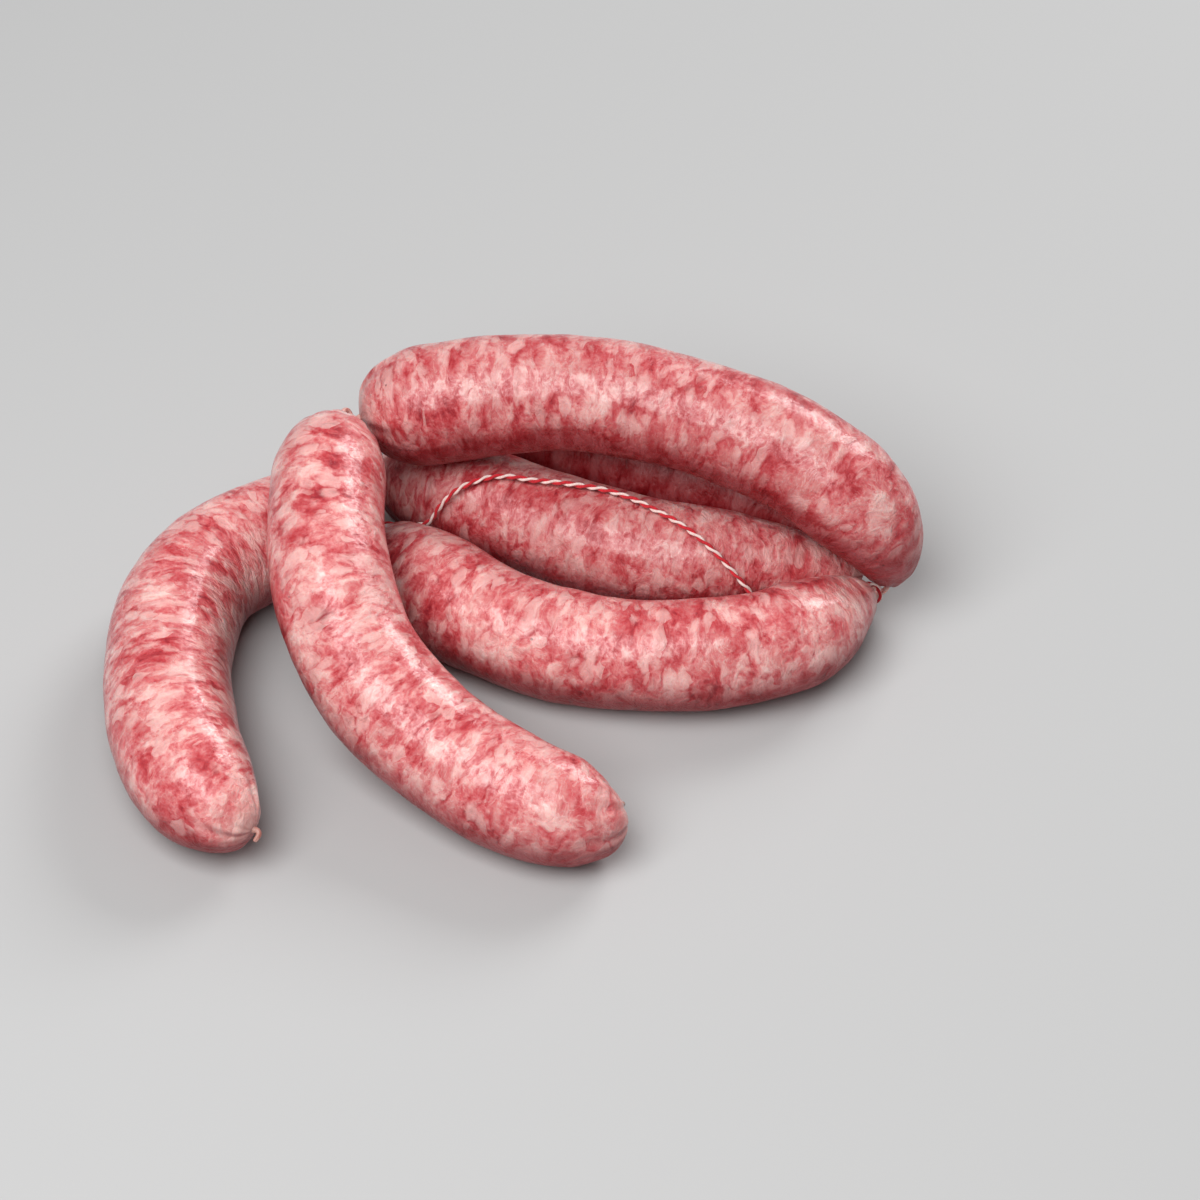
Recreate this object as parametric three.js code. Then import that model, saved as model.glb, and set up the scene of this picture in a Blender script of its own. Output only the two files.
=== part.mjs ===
// A string of six fresh pork sausage links, folded to and fro and heaped on a flat surface.
// Millimetres. X runs to the right, Y to the back and Z up, and the links rest on Z = 0.

import * as THREE from 'three'
import { NURBSCurve } from 'three/addons/curves/NURBSCurve.js'

// Place of the heap's middle in the coordinates of the lists below
const MIDDLE = new THREE.Vector2(-22, -16.9)

// Filled links, in the order of the string, from one free end to the other.
// bend: control points of the centreline. radii: at the start, the middle and the end.
// domes: length over which each end rounds off. roundness: 2 is an ellipse, less is a taper.
const LINKS = [
  {
    name: 'link_1',
    bend: [
      [-88.3, -100.4, 13.5], [-100, -94, 15], [-111, -75, 16.2], [-115, -34.5, 16.2], [-107.5, -5, 16.2],
      [-89.5, 6, 16.2], [-78, 19, 15], [-77, 32, 13], [-75, 42, 12],
    ],
    radii: [16, 16.8, 14],
    domes: [29, 40],
    roundness: [1.8, 1.7],
  },
  {
    name: 'link_2',
    bend: [
      [-62, 56, 13], [-52, 60, 14], [-36, 60, 14.7], [-13, 51, 14.7],
      [13, 39.5, 14.7], [37, 30, 14.5], [57, 20.5, 13], [68, 10, 12],
    ],
    radii: [15.3, 15.3, 14],
    domes: [24, 32],
    roundness: [2, 1.8],
  },
  {
    name: 'link_3',
    bend: [
      [70.5, -1.8, 12], [59, -3, 14.4], [37.5, -2, 14.9], [11.5, 0.5, 14.9],
      [-12, 12, 14.9], [-37, 25.5, 14.5], [-54.5, 33.5, 13.8], [-61, 33, 13.5],
    ],
    radii: [15, 15.5, 14.2],
    domes: [50, 26],
    roundness: [1.45, 2.2],
  },
  {
    name: 'link_4',
    bend: [
      [-60.5, 7, 14], [-55, 1, 14.5], [-43, -14.5, 14.4], [-13.5, -34.5, 14.2],
      [20.7, -38.8, 14.6], [51.5, -33.5, 15.5], [60.5, -22, 14.2], [71.9, -10.8, 13.2],
    ],
    radii: [16, 14.9, 14.5],
    domes: [30, 29.5],
    roundness: [2, 1.5],
  },
  {
    name: 'link_5',
    bend: [
      [77, -3.5, 11], [78, -6.2, 27.7], [62.5, 3.3, 42.3], [36.7, 15.5, 49],
      [-5.2, 27, 53.4], [-38.5, 29, 46.5], [-60, 28, 42.3], [-64.5, 27, 41.8],
    ],
    radii: [16.3, 15.3, 17.3],
    domes: [35, 19.5],
    roundness: [1.5, 1.8],
  },
  {
    name: 'link_6',
    bend: [
      [-68, 19, 42], [-71, 12, 45], [-73, -10, 43.5], [-70.5, -36, 36],
      [-60, -58.5, 23], [-36, -79, 14.8], [-11.5, -96.5, 14.6], [1.2, -94, 12.2], [4.4, -91, 12.3],
    ],
    radii: [14.4, 16.3, 14.7],
    domes: [22, 20],
    roundness: [2.2, 2.2],
  },
]
const BEND_DEGREE = 3
const NECK_RADIUS = 2
const SWELL_HEIGHT = 0.2
const SWELL_LENGTH = 37
const LINK_SIDES = 24
const LINK_RINGS = 32
const RING_CROWDING = 0.7
const FRAME_STEPS = 400

// Empty casing, twisted from the end of each link to the start of the next.
// Each list holds the points that a twist passes on its way.
const TWIST_ROUTES = [
  [[-71.5, 51, 12]],
  [[73.2, 3.6, 11.8]],
  [[-63.8, 25, 14], [-63.6, 15, 14]],
  [[72.6, -8.9, 11.1], [72.4, -7.1, 9], [73.4, -4.9, 6.6], [76.6, -2.7, 6.3]],
  [[-68, 27.4, 44], [-69, 23.4, 44]],
]
// Points where the casing's two free ends curl to
const FIRST_END_ROUTE = [[-88, -102.8, 11.6]]
const LAST_END_ROUTE = [[5.9, -88.7, 11]]
const TWIST_RADIUS = 1.3
const TWIST_LEAD = 1.5
const TWIST_STEP = 1.6
const GAP = 0.3
// Half the number of sides of a round tube
const TUBE_HALF_SIDES = 4

// Twine of two plies, from its tie at one end of link_4 over link_3 to its tie at the other end
const TWINE_RADIUS = 0.85
const TWINE_ROUTE = [
  [-59.4, 15.1, 14], [-53, 13.8, 15], [-46.2, 11.1, 18.2], [-43.1, 11.4, 23.4], [-38.8, 13.1, 27.6],
  [-33.6, 14.6, 29.8], [-26.5, 15.2, 31.2], [-18, 13.3, 31.5], [-9, 11.6, 31.8], [4, 8.4, 31.4],
  [15.4, 0.8, 31.5], [23, -5.3, 30.9], [28.7, -9.9, 28.8], [33.6, -13.4, 25.3], [39.5, -16.6, 18.9],
  [43.4, -16.9, 13], [48, -15, 7.2], [56, -11.8, 4.8], [62, -8, 5], [68.6, -5, 7.5],
]
const TWINE_STEP = 4
const TIE_TURNS = 2
const TIE_CLEARANCE = 0.39
const TIE_SIDES = 16
const TIE_EDGE_SIDES = 3
const TIES = [
  { name: 'tie_3_4', twist: 'twist_3_4', along: 0.82 },
  { name: 'tie_4_5', twist: 'twist_4_5', along: 0.4 },
]

const CASING = { color: 0xd98f92, roughness: 0.35, metalness: 0 }
const EMPTY_CASING = { color: 0xd9b3a6, roughness: 0.45, metalness: 0 }
const TWINE = { color: 0xd8a3a0, roughness: 0.9, metalness: 0 }

const toVector = ([x, y, z]) => new THREE.Vector3(x - MIDDLE.x, y - MIDDLE.y, z)

// Centreline of a filled link: a cubic spline that starts and ends on its outer control points
function centreline(bend) {
  const spans = bend.length - BEND_DEGREE
  const inner = Array.from({ length: spans + 1 }, (_, i) => i)
  const knots = [0, 0, 0, ...inner, spans, spans, spans]
  return new NURBSCurve(BEND_DEGREE, knots, bend.map(toVector))
}

// Radius at a share t of the length, before the ends round off
function bodyRadius(t, [start, middle, end], length, phase) {
  const parabola = start * (1 - t) * (1 - 2 * t) + middle * 4 * t * (1 - t) + end * t * (2 * t - 1)
  const swell = SWELL_HEIGHT * Math.sin((2 * Math.PI * t * length) / SWELL_LENGTH + phase)
  return parabola + swell
}

function radiusAt(t, link, length, phase) {
  const body = bodyRadius(t, link.radii, length, phase)
  const toEnds = [t * length, (1 - t) * length]
  const domes = toEnds.map((distance, end) => {
    const power = link.roundness[end]
    const inward = Math.max(0, 1 - distance / link.domes[end])
    return NECK_RADIUS + (body - NECK_RADIUS) * (1 - inward ** power) ** (1 / power)
  })
  return Math.min(...domes)
}

// Shares of the length where the rings sit, closer together in the domes
function ringShares() {
  return Array.from({ length: LINK_RINGS }, (_, k) => {
    const even = k / (LINK_RINGS - 1)
    const crowded = 0.5 - 0.5 * Math.cos(Math.PI * even)
    return THREE.MathUtils.lerp(even, crowded, RING_CROWDING)
  })
}

// A body of revolution, turned straight, then bent along the centreline and kept above Z = 0
function linkGeometry(link, phase) {
  const path = centreline(link.bend)
  const length = path.getLength()
  const shares = ringShares()
  const outline = shares.map((t) => new THREE.Vector2(radiusAt(t, link, length, phase), t * length))
  outline.unshift(new THREE.Vector2(0, 0))
  outline.push(new THREE.Vector2(0, length))
  const geometry = new THREE.LatheGeometry(outline, LINK_SIDES)
  const frames = path.computeFrenetFrames(FRAME_STEPS, false)
  const position = geometry.attributes.position
  const vertex = new THREE.Vector3()
  for (let i = 0; i < position.count; i += 1) {
    vertex.fromBufferAttribute(position, i)
    const t = THREE.MathUtils.clamp(vertex.y / length, 0, 1)
    const step = Math.round(t * FRAME_STEPS)
    const bent = path.getPointAt(t)
    bent.addScaledVector(frames.normals[step], vertex.z)
    bent.addScaledVector(frames.binormals[step], vertex.x)
    position.setXYZ(i, bent.x, bent.y, Math.max(bent.z, 0))
  }
  geometry.computeVertexNormals()
  return geometry
}

function tubeGeometry(path, radius, step) {
  const section = new THREE.Shape()
  section.absarc(0, 0, radius, 0, 2 * Math.PI)
  const steps = Math.ceil(path.getLength() / step)
  return new THREE.ExtrudeGeometry(section, { steps, curveSegments: TUBE_HALF_SIDES, extrudePath: path })
}

// Points where a twist leaves a link: on its tip, just past it, and a short way out along its axis
function leave(link, atEnd) {
  const share = atEnd ? 1 : 0
  const path = centreline(link.bend)
  const tip = path.getPointAt(share)
  const outward = path.getTangentAt(share).multiplyScalar(atEnd ? 1 : -1)
  return [GAP, TWIST_LEAD].map((distance) => tip.clone().addScaledVector(outward, distance))
}

// Ring of twine turns side by side, around the middle of its own height
function tieGeometry() {
  const inside = TWIST_RADIUS + TIE_CLEARANCE
  const outline = new THREE.Shape()
  const half = (TIE_TURNS - 1) * TWINE_RADIUS
  outline.absarc(inside + TWINE_RADIUS, half, TWINE_RADIUS, 0, Math.PI)
  outline.absarc(inside + TWINE_RADIUS, -half, TWINE_RADIUS, Math.PI, 2 * Math.PI)
  const points = outline.getPoints(TIE_EDGE_SIDES)
  points.push(points[0].clone())
  return new THREE.LatheGeometry(points, TIE_SIDES)
}

function mesh(name, geometry, look) {
  const piece = new THREE.Mesh(geometry, new THREE.MeshStandardMaterial(look))
  piece.name = name
  return piece
}

const string = new THREE.Group()
string.name = 'sausage_string'

LINKS.forEach((link, index) => {
  string.add(mesh(link.name, linkGeometry(link, index), CASING))
})

const twistPaths = new Map()
function addTwist(name, points) {
  const path = new THREE.CatmullRomCurve3(points)
  twistPaths.set(name, path)
  string.add(mesh(name, tubeGeometry(path, TWIST_RADIUS, TWIST_STEP), EMPTY_CASING))
}
TWIST_ROUTES.forEach((route, i) => {
  const arrive = leave(LINKS[i + 1], false).reverse()
  addTwist(`twist_${i + 1}_${i + 2}`, [...leave(LINKS[i], true), ...route.map(toVector), ...arrive])
})
addTwist('free_end_1', [...leave(LINKS.at(0), false), ...FIRST_END_ROUTE.map(toVector)])
addTwist('free_end_6', [...leave(LINKS.at(-1), true), ...LAST_END_ROUTE.map(toVector)])

for (const { name, twist, along } of TIES) {
  const path = twistPaths.get(twist)
  const tie = mesh(name, tieGeometry(), TWINE)
  tie.position.copy(path.getPointAt(along))
  tie.quaternion.setFromUnitVectors(THREE.Object3D.DEFAULT_UP, path.getTangentAt(along))
  string.add(tie)
}

const span = new THREE.CatmullRomCurve3(TWINE_ROUTE.map(toVector))
string.add(mesh('twine_span', tubeGeometry(span, TWINE_RADIUS, TWINE_STEP), TWINE))

export default string
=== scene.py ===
"""A string of six fresh pork sausage links, folded to and fro and heaped, with red and white twine.

Lists of points are in millimetres, as a maker would measure them: X to the right, Y to the back and
Z up from the surface that the links lie on. Everything else is in metres, in the frame of the solids.
"""

import logging
import math
from dataclasses import dataclass, field
from enum import Enum
from typing import Any

import bpy
import numpy as np
from mathutils import Euler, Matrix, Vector


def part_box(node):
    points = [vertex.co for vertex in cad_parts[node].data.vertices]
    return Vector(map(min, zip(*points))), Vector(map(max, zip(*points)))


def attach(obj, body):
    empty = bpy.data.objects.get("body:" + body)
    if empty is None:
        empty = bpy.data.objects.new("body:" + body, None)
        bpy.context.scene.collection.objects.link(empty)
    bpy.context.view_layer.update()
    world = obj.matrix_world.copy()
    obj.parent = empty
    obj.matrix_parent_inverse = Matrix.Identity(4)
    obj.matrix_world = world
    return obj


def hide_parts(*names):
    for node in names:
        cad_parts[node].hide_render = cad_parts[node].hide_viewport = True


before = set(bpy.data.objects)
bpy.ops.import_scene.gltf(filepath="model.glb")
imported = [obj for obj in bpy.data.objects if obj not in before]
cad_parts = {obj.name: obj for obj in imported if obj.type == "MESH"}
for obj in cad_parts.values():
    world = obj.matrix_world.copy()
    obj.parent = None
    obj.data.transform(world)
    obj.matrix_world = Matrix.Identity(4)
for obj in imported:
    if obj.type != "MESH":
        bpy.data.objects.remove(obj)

LOG = logging.getLogger("sausage_string")
MM = 0.001
MIDDLE_MM = (-22, -16.9)
LUMP_EDGE = (-0.20, 0.30)

# Values that a mesh keeps for its material: where each vertex lay before the piece was bent, how near it
# is to a gathered end, how much painted shade it gets, and whether the casing has dried
UNBENT = "unbent"
GATHER = "gather"
PAINTED_SHADE = "painted_shade"
DRIED = "dried"

Point = tuple[float, float, float]


def to_frame(point_mm: Point) -> Vector:
    """Return a listed point, in millimetres, as a place in the frame."""
    x, y, z = point_mm
    return Vector(((x - MIDDLE_MM[0]) * MM, (y - MIDDLE_MM[1]) * MM, z * MM))


def deselect_all() -> None:
    """Leave nothing selected, because operators act on all that is."""
    bpy.ops.object.select_all(action="DESELECT")


def pick(piece: bpy.types.Object) -> None:
    """Make a piece the only selected object, and the active one."""
    deselect_all()
    piece.select_set(True)
    bpy.context.view_layer.objects.active = piece


def apply_modifier(piece: bpy.types.Object, kind: str, **settings: Any) -> None:
    """Add a modifier to a piece, set it and apply it.

    Args:
        piece: The object that takes the modifier.
        kind: The modifier's type.
        settings: Values of the modifier's own properties.
    """
    pick(piece)
    bpy.ops.object.modifier_add(type=kind)
    modifier = piece.modifiers[-1]
    for name, value in settings.items():
        setattr(modifier, name, value)
    bpy.ops.object.modifier_apply(modifier=modifier.name)


def places(piece: bpy.types.Object) -> np.ndarray:
    """Return the vertices of a piece as rows of x, y and z."""
    flat = np.empty(len(piece.data.vertices) * 3)
    piece.data.vertices.foreach_get("co", flat)
    return flat.reshape(-1, 3)


def move_to(piece: bpy.types.Object, rows: np.ndarray) -> None:
    """Put the vertices of a piece at the places in the rows."""
    piece.data.vertices.foreach_set("co", rows.ravel())
    piece.data.update()


def remember(piece: bpy.types.Object, name: str, rows: np.ndarray) -> None:
    """Keep a value for each vertex of a piece, for its material to read.

    Args:
        piece: The object whose mesh gets the attribute.
        name: The attribute's name.
        rows: One number, or one row of three, for each vertex.
    """
    kind, key = ("FLOAT", "value") if rows.ndim == 1 else ("FLOAT_VECTOR", "vector")
    attribute = piece.data.attributes.new(name, kind, "POINT")
    attribute.data.foreach_set(key, rows.astype(np.float32).ravel())


def close_ends() -> None:
    """Fill the open ends of the mesh in edit mode and turn its faces outwards."""
    bpy.ops.mesh.select_all(action="SELECT")
    bpy.ops.mesh.fill_holes(sides=0)
    bpy.ops.mesh.normals_make_consistent(inside=False)


def extrude_sleeve(
    name: str,
    sides: int,
    stations: list[float],
    radii: list[float],
    turn: float = 0.0,
    centre: tuple[float, float] = (0.0, 0.0),
    groove: tuple[int, float] | None = None,
) -> bpy.types.Object:
    """Model a straight closed sleeve along +X, ring by ring.

    Args:
        name: Name of the new object.
        sides: Vertices of each ring.
        stations: Where the rings sit along X.
        radii: Radius of each ring.
        turn: Angle that each ring is turned by against the last, round the X axis.
        centre: Y and Z of the first ring's middle.
        groove: Every how many vertices the first ring is pinched, and to what share.

    Returns:
        The sleeve, with its object at the origin.
    """
    deselect_all()
    bpy.ops.mesh.primitive_circle_add(
        vertices=sides, radius=radii[0], location=(stations[0], *centre), rotation=(0, math.pi / 2, 0)
    )
    piece = bpy.context.object
    piece.name = name
    bpy.ops.object.transform_apply(location=True, rotation=True, scale=True)
    if groove is not None:
        every, share = groove
        for index, vertex in enumerate(piece.data.vertices):
            vertex.select = index % every == 0
        bpy.ops.object.mode_set(mode="EDIT")
        bpy.ops.transform.resize(value=(1, share, share), center_override=(stations[0], *centre))
    else:
        bpy.ops.object.mode_set(mode="EDIT")
    bpy.ops.mesh.select_all(action="SELECT")
    for previous, here, was, radius in zip(stations, stations[1:], radii, radii[1:]):
        bpy.ops.mesh.extrude_region_move(TRANSFORM_OT_translate={"value": (here - previous, 0, 0)})
        share = radius / was
        bpy.ops.transform.resize(value=(1, share, share), center_override=(here, 0, 0))
        if turn:
            bpy.ops.transform.rotate(value=turn, orient_axis="X", center_override=(here, 0, 0))
    return piece


class Fit(Enum):
    """How a route's points shape its line."""

    PULLED = "NURBS"
    THROUGH = "BEZIER"


@dataclass(frozen=True)
class Route:
    """A smooth line in the frame, along which straight pieces are bent."""

    points: tuple[Vector, ...]
    fit: Fit = Fit.THROUGH
    resolution: int = 32

    def guide(self) -> bpy.types.Object:
        """Return a new curve object that follows the route."""
        curve = bpy.data.curves.new("guide", "CURVE")
        curve.dimensions = "3D"
        curve.twist_mode = "MINIMUM"
        curve.resolution_u = self.resolution
        curve.use_stretch = False
        curve.use_radius = False
        curve.use_deform_bounds = False
        spline = curve.splines.new(self.fit.value)
        if self.fit is Fit.PULLED:
            spline.points.add(len(self.points) - 1)
            for target, point in zip(spline.points, self.points):
                target.co = (*point, 1)
            spline.order_u = 4
            spline.use_endpoint_u = True
        else:
            spline.bezier_points.add(len(self.points) - 1)
            for target, point in zip(spline.bezier_points, self.points):
                target.co = point
                target.handle_left_type = target.handle_right_type = "AUTO"
        guide = bpy.data.objects.new("guide", curve)
        bpy.context.collection.objects.link(guide)
        return guide

    def line(self) -> np.ndarray:
        """Return the route as rows of closely spaced points."""
        guide = self.guide()
        bpy.context.view_layer.update()
        shape = guide.to_mesh()
        rows = np.array([vertex.co[:] for vertex in shape.vertices])
        guide.to_mesh_clear()
        bpy.data.objects.remove(guide)
        return rows

    def length(self) -> float:
        """Return the length of the route in metres."""
        return float(np.linalg.norm(np.diff(self.line(), axis=0), axis=1).sum())

    def at(self, share: float) -> tuple[Vector, Vector]:
        """Return the place and the direction at a share of the route's length."""
        rows = self.line()
        steps = np.diff(rows, axis=0)
        reached = np.concatenate([[0], np.cumsum(np.linalg.norm(steps, axis=1))])
        wanted = share * reached[-1]
        place = Vector([np.interp(wanted, reached, column) for column in rows.T])
        index = min(int(np.searchsorted(reached, wanted, side="right")) - 1, len(steps) - 1)
        return place, Vector(steps[max(index, 0)]).normalized()

    def bend(self, piece: bpy.types.Object) -> None:
        """Bend a straight piece, which lies along +X, so that it follows the route."""
        guide = self.guide()
        apply_modifier(piece, "CURVE", object=guide, deform_axis="POS_X")
        bpy.data.objects.remove(guide)


class Signal:
    """A number or colour that changes over a surface. Python's operators add its Math nodes."""

    def __init__(self, tree: "Shading", socket: bpy.types.NodeSocket) -> None:
        """Wrap a socket of a material's nodes."""
        self.tree = tree
        self.socket = socket

    def _math(self, operation: str, *values: "Signal | float") -> "Signal":
        """Return the result of a Math node on the values."""
        return self.tree.node("ShaderNodeMath", {"operation": operation}, dict(enumerate(values)))

    def __add__(self, other: "Signal | float") -> "Signal":
        """Return self + other."""
        return self._math("ADD", self, other)

    __radd__ = __add__

    def __mul__(self, other: "Signal | float") -> "Signal":
        """Return self * other."""
        return self._math("MULTIPLY", self, other)

    __rmul__ = __mul__

    def __sub__(self, other: "Signal | float") -> "Signal":
        """Return self - other."""
        return self._math("SUBTRACT", self, other)

    def __rsub__(self, other: "Signal | float") -> "Signal":
        """Return other - self."""
        return self._math("SUBTRACT", other, self)

    def __abs__(self) -> "Signal":
        """Return the size of the number, without its sign."""
        return self._math("ABSOLUTE", self)

    def rise(self, low: float, high: float) -> "Signal":
        """Return 0 below low and 1 above high, with a soft step between; low may be the larger."""
        start, end = (low, high) if low < high else (high, low)
        step = self.tree.node(
            "ShaderNodeMapRange",
            {"interpolation_type": "SMOOTHSTEP"},
            {"Value": self, "From Min": start, "From Max": end},
        )
        return step if low < high else 1 - step


class Shading:
    """The nodes of one material, built in Python."""

    def __init__(self, name: str) -> None:
        """Start a material with only its output and its surface shader."""
        self.material = bpy.data.materials.new(name)
        self.material.use_nodes = True
        self.nodes = self.material.node_tree.nodes
        self.links = self.material.node_tree.links
        self.surface = self.nodes["Principled BSDF"]

    def node(
        self,
        kind: str,
        settings: dict[str, Any] | None = None,
        inputs: dict[int | str, Any] | None = None,
        output: int | str = 0,
    ) -> Signal:
        """Add a node.

        Args:
            kind: The node's type.
            settings: Its own properties, set before its sockets.
            inputs: Values or signals for its sockets, by name or index.
            output: The socket that is returned.

        Returns:
            The chosen output.
        """
        made = self.nodes.new(kind)
        for name, value in (settings or {}).items():
            if name == "stops":
                self._set_stops(made.color_ramp, value)
            else:
                setattr(made, name, value)
        for key, value in (inputs or {}).items():
            self.feed(made.inputs[key], value)
        return Signal(self, made.outputs[output])

    @staticmethod
    def _set_stops(ramp: bpy.types.ColorRamp, stops: dict[float, "Colour"]) -> None:
        """Give a colour ramp its stops, by their place from 0 to 1."""
        while len(ramp.elements) < len(stops):
            ramp.elements.new(0.5)
        for element, (position, colour) in zip(ramp.elements, sorted(stops.items())):
            element.position = position
            element.color = colour

    def feed(self, socket: bpy.types.NodeSocket, value: Any) -> None:
        """Link a signal to a socket, or set the socket to a plain value."""
        if isinstance(value, Signal):
            self.links.new(value.socket, socket)
        else:
            socket.default_value = value

    def attribute(self, name: str, output: str) -> Signal:
        """Return a value that the mesh keeps for each vertex."""
        return self.node("ShaderNodeAttribute", {"attribute_name": name}, output=output)

    def stretched(self, vector: Signal, shares: Point) -> Signal:
        """Return a vector with each of its parts multiplied."""
        return self.node("ShaderNodeVectorMath", {"operation": "MULTIPLY"}, {0: vector, 1: shares})

    def shifted(self, vector: Signal, by: Signal | Point) -> Signal:
        """Return a vector with another one added."""
        return self.node("ShaderNodeVectorMath", {"operation": "ADD"}, {0: vector, 1: by})

    def noise(
        self, vector: Signal, size: float, detail: float = 3, rough: float = 0.6, warp: float = 0
    ) -> Signal:
        """Return soft noise between 0 and 1.

        Args:
            vector: Where on the surface, in metres.
            size: Size of its largest features in metres.
            detail: How many finer layers it has.
            rough: How strong the finer layers are.
            warp: How far it is drawn out of shape.

        Returns:
            The noise.
        """
        inputs = {"Vector": vector, "Scale": 1 / size, "Detail": detail}
        inputs |= {"Roughness": rough, "Distortion": warp}
        return self.node("ShaderNodeTexNoise", None, inputs)

    def warped(self, vector: Signal, size: float, reach: float) -> Signal:
        """Return a vector pushed to and fro by noise.

        Args:
            vector: Where on the surface, in metres.
            size: Size of the noise's features in metres.
            reach: How far it pushes, in metres, from one extreme to the other.

        Returns:
            The pushed vector.
        """
        inputs = {"Vector": vector, "Scale": 1 / size, "Detail": 2}
        drift = self.node("ShaderNodeTexNoise", None, inputs, "Color")
        centred = self.shifted(drift, (-0.5, -0.5, -0.5))
        return self.shifted(vector, self.stretched(centred, (reach * 2, reach * 2, reach * 2)))

    def lumps(self, vector: Signal, size: float, spread: float, ragged: Signal) -> Signal:
        """Return where scattered lumps of one kind show: 1 on them and 0 elsewhere, with soft edges.

        Args:
            vector: Where on the surface, in metres.
            size: Distance from one lump to the next in metres.
            spread: Radius of the largest lumps, as a share of the size.
            ragged: Unevenness of their edges, around 0.

        Returns:
            The mask.
        """
        inputs = {"Vector": vector, "Scale": 1 / size}
        distance = self.node("ShaderNodeTexVoronoi", None, inputs, "Distance")
        colour = Signal(self, distance.socket.node.outputs["Color"])
        chance = self.node("ShaderNodeSeparateColor", None, {"Color": colour}, "Red")
        return (chance * spread - distance + ragged).rise(*LUMP_EDGE)

    def ramp(self, value: Signal, stops: dict[float, "Colour"]) -> Signal:
        """Return the colour that a ramp gives to a number."""
        return self.node("ShaderNodeValToRGB", {"stops": stops}, {"Fac": value})

    def mix(self, share: Signal | float, first: Any, second: Any) -> Signal:
        """Return a colour between two, by a share from 0 to 1."""
        settings = {"data_type": "RGBA", "clamp_factor": True}
        return self.node("ShaderNodeMix", settings, {0: share, 6: first, 7: second}, output=2)

    def shade_mix(self, share: Signal, first: Signal, shade_colour: "Colour") -> Signal:
        """Return a colour multiplied by another colour, by a share from 0 to 1; used for painted shade.
        """
        settings = {"data_type": "RGBA", "blend_type": "MULTIPLY", "clamp_factor": True}
        return self.node("ShaderNodeMix", settings, {0: share, 6: first, 7: shade_colour}, output=2)

    def bump(self, height: Signal, depth: float, under: Signal | None = None) -> Signal:
        """Return normals that follow a height between 0 and 1, times a depth in metres."""
        inputs: dict[int | str, Any] = {"Height": height, "Distance": depth, "Strength": 1.0}
        if under is not None:
            inputs["Normal"] = under
        return self.node("ShaderNodeBump", None, inputs)


Colour = tuple[float, float, float, float]


def tint(red: int, green: int, blue: int) -> Colour:
    """Return a colour, given as screen values up to 255, in the shader's linear numbers."""
    def linear(value: int) -> float:
        """Return one screen value as a linear number."""
        share = value / 255
        return share / 12.92 if share <= 0.04045 else ((share + 0.055) / 1.055) ** 2.4

    return (linear(red), linear(green), linear(blue), 1.0)


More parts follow.
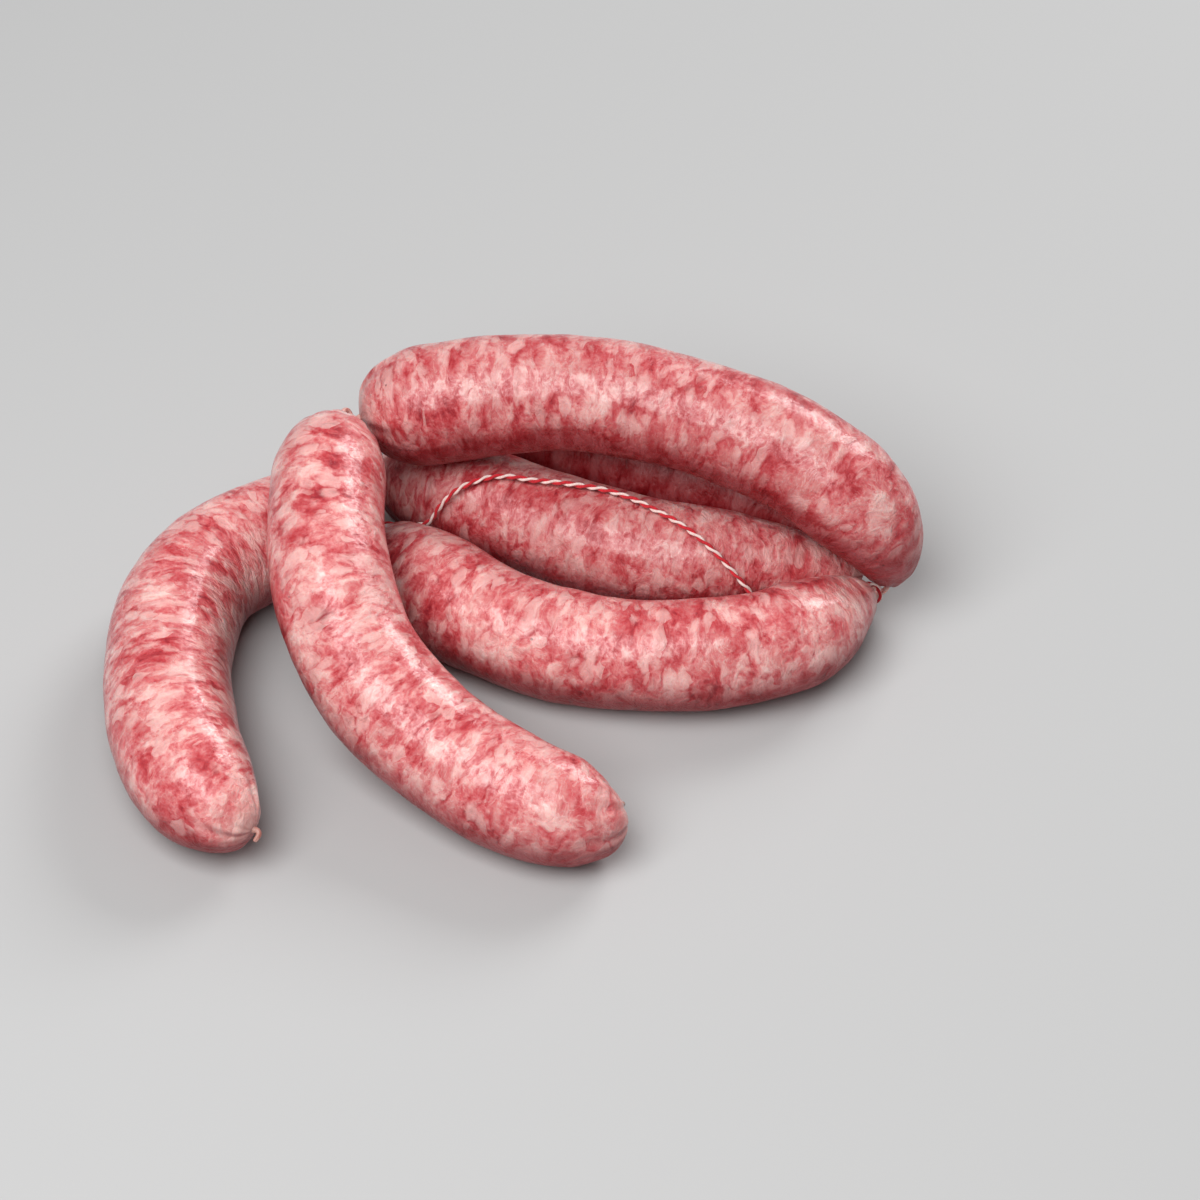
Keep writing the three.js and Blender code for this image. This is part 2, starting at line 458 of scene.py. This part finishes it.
@dataclass(frozen=True)
class FilledCasing:
    """Moist, see-through casing over coarsely ground pork, pale fat among red lean.

    Sizes, spacings and depths are in metres, and the rest are shares.
    """

    fat: Colour = tint(250, 212, 205)
    pale: Colour = tint(236, 165, 161)
    pink: Colour = tint(224, 131, 131)
    rose: Colour = tint(211, 97, 101)
    lean: Colour = tint(193, 65, 71)
    deep: Colour = tint(160, 42, 52)
    # Painted shade: undersides and covered links are multiplied by this dark red
    shade_tint: Colour = (0.42, 0.13, 0.16, 1.0)
    pepper: Colour = tint(70, 40, 36)
    bare: Colour = tint(238, 194, 185)
    squeeze: float = 1.8
    swirls: tuple[tuple[float, float], ...] = ((0.012, 0.0040), (0.0030, 0.0009))
    cloud_size: float = 0.012
    cloud_share: float = 0.75
    meat_size: float = 0.0062
    meat_share: float = 0.65
    meat_ragged: float = 0.56
    crumb_size: float = 0.0024
    crumb_share: float = 0.45
    crumb_ragged: float = 0.525
    grain_size: float = 0.0010
    grain_share: float = 0.30
    tone_drop: float = 0.575
    strand_size: float = 0.006
    strand_width: float = 0.02
    strand_where: tuple[float, float] = (0.42, 0.60)
    lean_spacing: float = 0.0095
    lean_spread: float = 0.84
    lean_share: float = 0.36
    fat_spacing: float = 0.0058
    fat_spread: float = 0.73
    fat_share: float = 0.46
    strand_share: float = 0.35
    pepper_spacing: float = 0.014
    pepper_edge: tuple[float, float] = (0.030, 0.018)
    pepper_share: float = 0.6
    bare_where: tuple[float, float] = (0.60, 1.0)
    bare_share: float = 0.65
    # How strongly the painted shade darkens the colour
    shade_tint_share: float = 0.95
    dullness: float = 0.20
    crumb_dullness: float = 0.3
    glaze_where: tuple[float, float] = (0.40, 0.62)
    least_glaze: float = 0.25
    glaze_share: float = 0.70
    hump_depth: float = 0.0013
    grain_depth: float = 0.00014

    def build(self) -> bpy.types.Material:
        """Return the material."""
        shading = Shading("filled_casing")
        place = shading.attribute(UNBENT, "Vector")
        ground = shading.stretched(place, (self.squeeze, 1, 1))
        for size, reach in self.swirls:
            ground = shading.warped(ground, size, reach)
        # Shifts keep one pattern from following another
        cloud = shading.noise(ground, self.cloud_size, 2, 0.5)
        meat = shading.noise(shading.shifted(ground, (0.1, 0.3, 0)), self.meat_size)
        crumb = shading.noise(ground, self.crumb_size)
        grains = shading.noise(place, self.grain_size)
        tone = cloud * self.cloud_share + meat * self.meat_share
        tone = tone + crumb * self.crumb_share + grains * self.grain_share - self.tone_drop
        ragged = (crumb - 0.5) * self.crumb_ragged + (meat - 0.5) * self.meat_ragged
        colour = self.marble(shading, ground, tone, ragged)
        lines = shading.noise(shading.shifted(ground, (0.3, 0, 0.1)), self.strand_size, warp=1.0)
        strands = abs(lines - 0.5).rise(self.strand_width, 0.0) * cloud.rise(*self.strand_where)
        colour = shading.mix(strands * self.strand_share, colour, self.fat)
        # Painted shade, a darker red on undersides and covered links, which also takes the coat away
        # there
        painted_shade = shading.attribute(PAINTED_SHADE, "Fac")
        surface = shading.surface
        shading.feed(surface.inputs["Base Color"], self.season(shading, place, painted_shade, colour))
        shading.feed(surface.inputs["Roughness"], self.dullness + crumb * self.crumb_dullness)
        glaze = (crumb * 0.5 + grains * 0.5).rise(*self.glaze_where)
        glazed = (self.least_glaze + glaze * self.glaze_share) * (1 - painted_shade)
        shading.feed(surface.inputs["Coat Weight"], glazed)
        humps = shading.bump(meat * 0.6 + crumb * 0.4, self.hump_depth)
        shading.feed(surface.inputs["Normal"], shading.bump(grains, self.grain_depth, humps))
        surface.inputs["IOR"].default_value = 1.42
        surface.inputs["Specular IOR Level"].default_value = 0.3
        surface.inputs["Subsurface Weight"].default_value = 0.3
        surface.inputs["Subsurface Radius"].default_value = (1.0, 0.35, 0.25)
        surface.inputs["Subsurface Scale"].default_value = 0.0025
        surface.inputs["Coat Roughness"].default_value = 0.18
        return shading.material

    def marble(self, shading: Shading, ground: Signal, tone: Signal, ragged: Signal) -> Signal:
        """Return the colour of the ground meat: blended shades, with lumps of lean and of fat.

        Args:
            shading: The material.
            ground: Where in the meat, in metres.
            tone: How fat it is, from 0 to 1.
            ragged: Unevenness of the lumps' edges.

        Returns:
            The colour.
        """
        stops = {0.22: self.deep, 0.34: self.lean, 0.43: self.rose}
        stops |= {0.52: self.pink, 0.62: self.pale, 0.80: self.fat}
        colour = shading.ramp(tone, stops)
        elsewhere = shading.shifted(ground, (0.2, 0.1, 0))
        lean = shading.lumps(elsewhere, self.lean_spacing, self.lean_spread, ragged)
        colour = shading.mix(lean * self.lean_share, colour, self.lean)
        fat = shading.lumps(ground, self.fat_spacing, self.fat_spread, ragged)
        return shading.mix(fat * self.fat_share, colour, self.fat)

    def season(self, shading: Shading, place: Signal, painted_shade: Signal, colour: Signal) -> Signal:
        """Return the meat's colour with specks of pepper, paler gathered ends and painted shade.

        Args:
            shading: The material.
            place: Where on the casing, in metres.
            painted_shade: How much painted shade there is, from 0 to 1.
            colour: Of the meat.

        Returns:
            The colour.
        """
        inputs = {"Vector": place, "Scale": 1 / self.pepper_spacing}
        distance = shading.node("ShaderNodeTexVoronoi", None, inputs, "Distance")
        specks = distance.rise(*self.pepper_edge)
        colour = shading.mix(specks * self.pepper_share, colour, self.pepper)
        gathered = shading.attribute(GATHER, "Fac").rise(*self.bare_where)
        colour = shading.mix(gathered * self.bare_share, colour, self.bare)
        # Painted shade: the colour is multiplied towards dark red on undersides and covered links
        return shading.shade_mix(painted_shade * self.shade_tint_share, colour, self.shade_tint)


@dataclass(frozen=True)
class EmptyCasing:
    """Casing twisted to a strand with nothing in it: pale, streaked, and browner where it has dried."""

    light: Colour = tint(240, 196, 184)
    dark: Colour = tint(206, 128, 122)
    brown: Colour = tint(158, 98, 84)
    stretch: float = 0.35
    streak_size: float = 0.0008
    streak_depth: float = 0.0002

    def build(self) -> bpy.types.Material:
        """Return the material."""
        shading = Shading("empty_casing")
        place = shading.stretched(shading.attribute(UNBENT, "Vector"), (self.stretch, 1, 1))
        streaks = shading.noise(place, self.streak_size, 3, 0.6, 0.4)
        surface = shading.surface
        moist = shading.mix(streaks.rise(0.35, 0.65), self.dark, self.light)
        dried = shading.attribute(DRIED, "Fac") * (0.95 - streaks * 0.5)
        shading.feed(surface.inputs["Base Color"], shading.mix(dried, moist, self.brown))
        shading.feed(surface.inputs["Roughness"], 0.3 + streaks * 0.25)
        shading.feed(surface.inputs["Normal"], shading.bump(streaks, self.streak_depth))
        surface.inputs["Subsurface Weight"].default_value = 0.3
        surface.inputs["Subsurface Radius"].default_value = (1.0, 0.5, 0.35)
        surface.inputs["Subsurface Scale"].default_value = 0.001
        surface.inputs["Coat Weight"].default_value = 0.3
        surface.inputs["Coat Roughness"].default_value = 0.25
        return shading.material


class Ply(Enum):
    """The twine's two plies, with the angle at which each starts round the axis, and its thickness."""

    WHITE = (0.0, 0.92)
    RED = (math.pi, 1.08)


@dataclass(frozen=True)
class Cotton:
    """Dull spun cotton of one colour, with darker dye between its fibres."""

    ply: Ply
    stretch: float = 0.25
    fibre_size: float = 0.00022
    fibre_depth: float = 0.00012

    def build(self) -> bpy.types.Material:
        """Return the material."""
        shading = Shading(f"twine_{self.ply.name.lower()}")
        light, dark = {
            Ply.WHITE: (tint(255, 238, 232), tint(240, 196, 186)),
            Ply.RED: (tint(222, 30, 46), tint(170, 14, 30)),
        }[self.ply]
        place = shading.stretched(shading.attribute(UNBENT, "Vector"), (self.stretch, 1, 1))
        fibres = shading.noise(place, self.fibre_size, 3, 0.7)
        surface = shading.surface
        shading.feed(surface.inputs["Base Color"], shading.mix(fibres.rise(0.3, 0.62), dark, light))
        shading.feed(surface.inputs["Roughness"], 0.7 + fibres * 0.2)
        shading.feed(surface.inputs["Normal"], shading.bump(fibres, self.fibre_depth))
        surface.inputs["Sheen Weight"].default_value = 0.25
        return shading.material


@dataclass
class Link:
    """One filled sausage link."""

    number: int
    bend_mm: tuple[Point, ...]
    radii_mm: tuple[float, float, float]
    domes_mm: tuple[float, float]
    roundness: tuple[float, float]
    neck: float = 2.0 * MM
    swell: float = 0.2 * MM
    swell_length: float = 37 * MM
    sides: int = 40
    rings: int = 58
    crowding: float = 0.6
    pattern_shift: float = 0.4
    folds: tuple[int, ...] = (7, 9, 12, 16)
    fold_depth: float = 0.025
    fold_turn: float = 2.2
    pleat_reach: float = 15 * MM
    lump_size: float = 9 * MM
    lump_height: float = 0.5 * MM
    # Where painted shade starts on the undersides, by how far the surface faces up, and how fast it
    # deepens
    shade_level: float = 0.45
    shade_rate: float = 1.2
    # Painted shade over the whole link, for links that lie in shadow under others
    covered_shade: float = 0.0
    seed: int = field(init=False)

    def __post_init__(self) -> None:
        """Give each link pleats of its own."""
        self.seed = 40 + self.number

    @property
    def name(self) -> str:
        """Return the name of the node that the link stands for."""
        return f"link_{self.number}"

    def route(self) -> Route:
        """Return the link's centreline."""
        return Route(tuple(to_frame(point) for point in self.bend_mm), Fit.PULLED)

    def tip(self, at_end: bool) -> tuple[Vector, Vector]:
        """Return the place of one of the link's ends, and the way out of the link there."""
        place, ahead = self.route().at(1.0 if at_end else 0.0)
        return place, ahead if at_end else -ahead

    def radius(self, distance: float, length: float) -> float:
        """Return the link's radius at a distance from its start.

        Args:
            distance: From the start, along the centreline.
            length: Of the whole link.

        Returns:
            The radius in metres.
        """
        share = distance / length
        start, middle, end = (value * MM for value in self.radii_mm)
        body = start * (1 - share) * (1 - 2 * share) + middle * 4 * share * (1 - share)
        body += end * share * (2 * share - 1)
        body += self.swell * math.sin(math.tau * distance / self.swell_length + self.number - 1)
        smallest = body
        for left, dome, power in zip((distance, length - distance), self.domes_mm, self.roundness):
            inward = max(0.0, 1 - left / (dome * MM))
            smallest = min(smallest, self.neck + (body - self.neck) * (1 - inward**power) ** (1 / power))
        return smallest

    def model(self) -> bpy.types.Object:
        """Return the link's mesh: a straight sleeve, pleated at its ends, then bent and laid down."""
        route = self.route()
        length = route.length()
        stations = []
        for ring in range(self.rings):
            even = ring / (self.rings - 1)
            crowded = 0.5 - 0.5 * math.cos(math.pi * even)
            stations.append(length * (even + (crowded - even) * self.crowding))
        radii = [self.radius(station, length) for station in stations]
        piece = extrude_sleeve(f"{self.name}_casing", self.sides, stations, radii)
        close_ends()
        bpy.ops.object.mode_set(mode="OBJECT")
        apply_modifier(piece, "SUBSURF", levels=2, render_levels=2)
        self.pleat(piece, length)
        route.bend(piece)
        self.knead(piece)
        self.paint_shade(piece)
        pick(piece)
        bpy.ops.object.shade_smooth()
        return piece

    def pleat(self, piece: bpy.types.Object, length: float) -> None:
        """Gather the straight casing towards its two ends, and note where each vertex lay.

        Args:
            piece: The straight sleeve.
            length: Of the sleeve.
        """
        rows = places(piece)
        remember(piece, UNBENT, rows + np.array([self.pattern_shift * self.number, 0, 0]))
        chance = np.random.default_rng(self.seed)
        angle = np.arctan2(rows[:, 2], rows[:, 1])
        gather = np.zeros(len(rows))
        for left, hand in ((rows[:, 0], 1), (length - rows[:, 0], -1)):
            near = np.clip(1 - left / self.pleat_reach, 0, 1)
            wave = np.zeros(len(rows))
            for folds in self.folds:
                start = chance.uniform(0, math.tau)
                weight = chance.uniform(0.5, 1.0)
                wave += weight * np.cos(folds * angle + start + hand * self.fold_turn * near**2)
            rows[:, 1:] *= (1 + self.fold_depth * near**1.5 * wave)[:, None]
            gather = np.maximum(gather, near)
        remember(piece, GATHER, gather)
        move_to(piece, rows)

    def knead(self, piece: bpy.types.Object) -> None:
        """Make the link uneven, as stuffed casing is, and press it flat where it lies down."""
        lumps = bpy.data.textures.new("lumps", "CLOUDS")
        lumps.noise_scale = self.lump_size
        lumps.noise_depth = 1
        apply_modifier(piece, "DISPLACE", texture=lumps, strength=self.lump_height, mid_level=0.5)
        rows = places(piece)
        rows[:, 2] = np.maximum(rows[:, 2], 0)
        move_to(piece, rows)

    def paint_shade(self, piece: bpy.types.Object) -> None:
        """Note the painted shade of each place: deeper on undersides, and all over a covered link."""
        flat = np.empty(len(piece.data.vertices) * 3)
        piece.data.vertices.foreach_get("normal", flat)
        upward = flat.reshape(-1, 3)[:, 2]
        # Painted shade: deepens as the surface turns down, plus the share of a covered link
        down = np.clip((self.shade_level - upward) * self.shade_rate, 0, 1)
        remember(piece, PAINTED_SHADE, np.clip(down * down * (3 - 2 * down) + self.covered_shade, 0, 1))


@dataclass
class Twist:
    """Empty casing, wrung to a strand between two links or past a free end."""

    name: str
    route: Route
    free: bool = False
    radius: float = 1.3 * MM
    root: float = 1.9 * MM
    root_reach: float = 2.2 * MM
    taper: float = 0.45
    step: float = 0.5 * MM
    fewest_steps: int = 6
    turn_length: float = 7 * MM
    sides: int = 18
    groove: tuple[int, float] = (3, 0.62)

    def model(self) -> bpy.types.Object:
        """Return the strand's mesh."""
        length = self.route.length()
        count = max(self.fewest_steps, round(length / self.step))
        stations = [length * index / count for index in range(count + 1)]
        radii = []
        for place in stations:
            ends = (place,) if self.free else (place, length - place)
            near = max(0.0, 1 - min(ends) / self.root_reach)
            thick = self.radius + (self.root - self.radius) * near**2
            if self.free:
                thick *= 1 - self.taper * max(0.0, place / length - 0.5)
            radii.append(thick)
        turn = math.tau * length / count / self.turn_length
        name = f"{self.name}_strand"
        piece = extrude_sleeve(name, self.sides, stations, radii, turn, groove=self.groove)
        close_ends()
        bpy.ops.object.mode_set(mode="OBJECT")
        rows = places(piece)
        remember(piece, UNBENT, rows)
        remember(piece, DRIED, np.full(len(rows), float(self.free)))
        apply_modifier(piece, "SUBSURF", levels=2, render_levels=2)
        self.route.bend(piece)
        pick(piece)
        bpy.ops.object.shade_smooth()
        return piece


@dataclass
class Cord:
    """A stretch of the twine: two cotton plies laid round each other."""

    name: str
    route: Route
    ply_radius: float = 0.54 * MM
    ply_offset: float = 0.36 * MM
    lay_length: float = 6.4 * MM
    steps: int = 18
    sides: int = 12
    groove: tuple[int, float] = (4, 0.8)
    weld: float = 0.02 * MM

    def model(self, ply: Ply) -> bpy.types.Object:
        """Return the mesh of one ply.

        Args:
            ply: Which of the two.

        Returns:
            The ply, bent along the stretch's route.
        """
        length = self.route.length()
        turns = max(1, round(length / self.lay_length))
        lay = length / turns
        stations = [lay * index / self.steps for index in range(self.steps + 1)]
        angle, thickness = ply.value
        centre = (self.ply_offset * math.cos(angle), self.ply_offset * math.sin(angle))
        piece = extrude_sleeve(
            f"{self.name}_{ply.name.lower()}",
            self.sides,
            stations,
            [self.ply_radius * thickness] * len(stations),
            math.tau / self.steps,
            centre,
            self.groove,
        )
        bpy.ops.object.mode_set(mode="OBJECT")
        apply_modifier(
            piece,
            "ARRAY",
            count=turns,
            use_relative_offset=False,
            use_constant_offset=True,
            constant_offset_displace=(lay, 0, 0),
            use_merge_vertices=True,
            merge_threshold=self.weld,
        )
        pick(piece)
        bpy.ops.object.mode_set(mode="EDIT")
        close_ends()
        bpy.ops.object.mode_set(mode="OBJECT")
        remember(piece, UNBENT, places(piece))
        self.route.bend(piece)
        pick(piece)
        bpy.ops.object.shade_smooth()
        return piece


# Links 2, 3 and 5 get painted shade all over; link 2, which lies in the valley under link 5, gets most.
LINKS = (
    Link(
        1,
        (
            (-88.3, -100.4, 13.5), (-100, -94, 15), (-111, -75, 16.2), (-115, -34.5, 16.2),
            (-107.5, -5, 16.2), (-89.5, 6, 16.2), (-78, 19, 15), (-77, 32, 13), (-75, 42, 12),
        ),
        (16, 16.8, 14),
        (29, 40),
        (1.8, 1.7),
    ),
    Link(
        2,
        (
            (-62, 56, 13), (-52, 60, 14), (-36, 60, 14.7), (-13, 51, 14.7),
            (13, 39.5, 14.7), (37, 30, 14.5), (57, 20.5, 13), (68, 10, 12),
        ),
        (15.3, 15.3, 14),
        (24, 32),
        (2, 1.8),
        covered_shade=0.9,
    ),
    Link(
        3,
        (
            (70.5, -1.8, 12), (59, -3, 14.4), (37.5, -2, 14.9), (11.5, 0.5, 14.9),
            (-12, 12, 14.9), (-37, 25.5, 14.5), (-54.5, 33.5, 13.8), (-61, 33, 13.5),
        ),
        (15, 15.5, 14.2),
        (50, 26),
        (1.45, 2.2),
        covered_shade=0.28,
    ),
    Link(
        4,
        (
            (-60.5, 7, 14), (-55, 1, 14.5), (-43, -14.5, 14.4), (-13.5, -34.5, 14.2),
            (20.7, -38.8, 14.6), (51.5, -33.5, 15.5), (60.5, -22, 14.2), (71.9, -10.8, 13.2),
        ),
        (16, 14.9, 14.5),
        (30, 29.5),
        (2, 1.5),
    ),
    Link(
        5,
        (
            (77, -3.5, 11), (78, -6.2, 27.7), (62.5, 3.3, 42.3), (36.7, 15.5, 49),
            (-5.2, 27, 53.4), (-38.5, 29, 46.5), (-60, 28, 42.3), (-64.5, 27, 41.8),
        ),
        (16.3, 15.3, 17.3),
        (35, 19.5),
        (1.5, 1.8),
        covered_shade=0.18,
    ),
    Link(
        6,
        (
            (-68, 19, 42), (-71, 12, 45), (-73, -10, 43.5), (-70.5, -36, 36),
            (-60, -58.5, 23), (-36, -79, 14.8), (-11.5, -96.5, 14.6), (1.2, -94, 12.2), (4.4, -91, 12.3),
        ),
        (14.4, 16.3, 14.7),
        (22, 20),
        (2.2, 2.2),
    ),
)
TWIST_ROUTES_MM = (
    ((-71.5, 51, 12),),
    ((73.2, 3.6, 11.8),),
    ((-63.8, 25, 14), (-63.6, 15, 14)),
    ((72.6, -8.9, 11.1), (72.4, -7.1, 9), (73.4, -4.9, 6.6), (76.6, -2.7, 6.3)),
    ((-68, 27.4, 44), (-69, 23.4, 44)),
)
FIRST_END_MM = ((-88, -102.8, 11.6),)
LAST_END_MM = ((5.9, -88.7, 11),)
TWINE_MM = (
    (-59.4, 15.1, 14), (-53, 13.8, 15), (-46.2, 11.1, 18.2), (-43.1, 11.4, 23.4), (-38.8, 13.1, 27.6),
    (-33.6, 14.6, 29.8), (-26.5, 15.2, 31.2), (-18, 13.3, 31.5), (-9, 11.6, 31.8), (4, 8.4, 31.4),
    (15.4, 0.8, 31.5), (23, -5.3, 30.9), (28.7, -9.9, 28.8), (33.6, -13.4, 25.3), (39.5, -16.6, 18.9),
    (43.4, -16.9, 13), (48, -15, 7.2), (56, -11.8, 4.8), (62, -8, 5), (68.6, -5, 7.5),
)


@dataclass
class SausageString:
    """The whole string: its links, the twists between them, and the twine with its ties."""

    links: tuple[Link, ...] = LINKS
    tuck: float = 0.6 * MM
    lead: float = 1.5 * MM
    tie_radius: float = 2.5 * MM
    tie_turns: float = 2.2
    tie_height: float = 3.4 * MM
    tie_start: float = math.pi / 3
    tie_points: int = 12
    tie_resolution: int = 12

    def leave(self, link: Link, at_end: bool) -> list[Vector]:
        """Return points where a strand leaves a link: inside its tip, and a short way out."""
        place, outward = link.tip(at_end)
        return [place - outward * self.tuck, place + outward * self.lead]

    def twists(self) -> list[Twist]:
        """Return the strands of empty casing, in the order of the string."""
        made = []
        for before, after, via in zip(self.links, self.links[1:], TWIST_ROUTES_MM):
            middle = [to_frame(point) for point in via]
            arrive = self.leave(after, False)[::-1]
            route = Route((*self.leave(before, True), *middle, *arrive))
            made.append(Twist(f"twist_{before.number}_{after.number}", route))
        ends = ((self.links[0], False, FIRST_END_MM), (self.links[-1], True, LAST_END_MM))
        for link, at_end, via in ends:
            route = Route((*self.leave(link, at_end), *[to_frame(point) for point in via]))
            made.append(Twist(f"free_end_{link.number}", route, free=True))
        return made

    def tie(self, name: str, strand: Twist, meets: Vector) -> Cord:
        """Return the turns of twine round a strand, which run out to where the open stretch starts.

        Args:
            name: Of the node that the tie stands for.
            strand: What it goes round.
            meets: The end of the open stretch.

        Returns:
            The tie.
        """
        low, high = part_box(name)
        middle = (low + high) / 2
        rows = strand.route.line()
        nearest = int(np.argmin(np.linalg.norm(rows - np.array(middle), axis=1)))
        nearest = min(max(nearest, 1), len(rows) - 2)
        axis = Vector(rows[nearest + 1] - rows[nearest - 1]).normalized()
        out = (meets - middle) - axis * (meets - middle).dot(axis)
        out.normalize()
        side = axis.cross(out)
        count = int(self.tie_points * self.tie_turns)
        points = []
        for index in range(count + 1):
            share = index / count
            angle = math.tau * self.tie_turns * (share - 1) + self.tie_start
            spoke = (out * math.cos(angle) + side * math.sin(angle)) * self.tie_radius
            points.append(middle + spoke + axis * (share - 0.5) * self.tie_height)
        points.append(meets)
        return Cord(name, Route(tuple(points), resolution=self.tie_resolution))

    def cords(self, strands: dict[str, Twist]) -> list[Cord]:
        """Return the open stretch of twine and its two ties."""
        open_points = tuple(to_frame(point) for point in TWINE_MM)
        return [
            Cord("twine_span", Route(open_points)),
            self.tie("tie_3_4", strands["twist_3_4"], open_points[0]),
            self.tie("tie_4_5", strands["twist_4_5"], open_points[-1]),
        ]

    def build(self) -> list[bpy.types.Object]:
        """Model and dress every piece, and return them all."""
        filled = FilledCasing().build()
        empty = EmptyCasing().build()
        cotton = {ply: Cotton(ply).build() for ply in Ply}
        made = [self.dress(link.model(), link.name, filled) for link in self.links]
        strands = self.twists()
        made += [self.dress(strand.model(), strand.name, empty) for strand in strands]
        for cord in self.cords({strand.name: strand for strand in strands}):
            made += [self.dress(cord.model(ply), cord.name, cotton[ply]) for ply in Ply]
        return made

    def dress(
        self, piece: bpy.types.Object, node: str, material: bpy.types.Material
    ) -> bpy.types.Object:
        """Give a piece its finish and its place in the frame.

        Args:
            piece: The finished mesh.
            node: The solid that it stands for.
            material: Its finish.

        Returns:
            The same piece.
        """
        piece.data.materials.clear()
        piece.data.materials.append(material)
        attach(piece, "root")
        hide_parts(node)
        LOG.info("%s stands for %s, with %d faces", piece.name, node, len(piece.data.polygons))
        return piece


@dataclass(frozen=True)
class Lamp:
    """A square soft light: where it hangs and its side in metres, and its power in watts."""

    name: str
    place: Point
    size: float
    power: float

    def hang(self) -> None:
        """Hang the light so that it faces the links."""
        data = bpy.data.lights.new(self.name, "AREA")
        data.shape = "SQUARE"
        data.size = self.size
        data.energy = self.power
        lamp = bpy.data.objects.new(self.name, data)
        lamp.location = self.place
        lamp.rotation_euler = (-Vector(self.place)).to_track_quat("-Z", "Y").to_euler()
        bpy.context.collection.objects.link(lamp)


@dataclass
class Studio:
    """A pale floor, soft lights and the camera."""

    elevation: float = math.radians(43)
    distance: float = 1.470
    lens: float = 163.35
    floor_size: float = 6.0
    floor_grey: float = 0.50
    floor_drop: float = 0.2 * MM
    room_light: float = 0.17
    lamps: tuple[Lamp, ...] = (
        Lamp("overhead", (-0.35, -0.55, 1.05), 1.0, 16.5),
        Lamp("window", (0.70, 0.9, 0.85), 0.7, 11.0),
    )

    def build(self) -> None:
        """Set everything up."""
        self.lay_floor()
        self.place_camera()
        for lamp in self.lamps:
            lamp.hang()
        self.light_room()

    def lay_floor(self) -> None:
        """Lay a wide pale floor just under the links."""
        deselect_all()
        bpy.ops.mesh.primitive_plane_add(size=self.floor_size, location=(0, 0, -self.floor_drop))
        floor = bpy.context.object
        floor.name = "floor"
        shading = Shading("floor")
        grey = (self.floor_grey, self.floor_grey, self.floor_grey, 1)
        shading.surface.inputs["Base Color"].default_value = grey
        shading.surface.inputs["Roughness"].default_value = 0.7
        floor.data.materials.append(shading.material)

    def place_camera(self) -> None:
        """Place the camera at the angle that the links are seen from."""
        aim = to_frame((0, 0, 0))
        back = Vector((0, -math.cos(self.elevation), math.sin(self.elevation)))
        data = bpy.data.cameras.new("camera")
        data.lens = self.lens
        data.sensor_width = 36
        data.clip_start = 0.05
        data.clip_end = 20
        camera = bpy.data.objects.new("camera", data)
        camera.location = aim + back * self.distance
        camera.rotation_euler = Euler((math.pi / 2 - self.elevation, 0, 0))
        bpy.context.collection.objects.link(camera)
        bpy.context.scene.camera = camera

    def light_room(self) -> None:
        """Light everything evenly from a white room, and show colours as they are."""
        world = bpy.data.worlds.new("room")
        world.use_nodes = True
        background = world.node_tree.nodes["Background"]
        background.inputs["Color"].default_value = (1, 1, 1, 1)
        background.inputs["Strength"].default_value = self.room_light
        bpy.context.scene.world = world
        bpy.context.scene.view_settings.view_transform = "Standard"


def main() -> None:
    """Build the studio and the string of links."""
    logging.basicConfig(level=logging.INFO, format="%(name)s: %(message)s")
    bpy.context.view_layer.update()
    Studio().build()
    SausageString().build()
    bpy.context.view_layer.update()


if __name__ == "__main__":
    main()
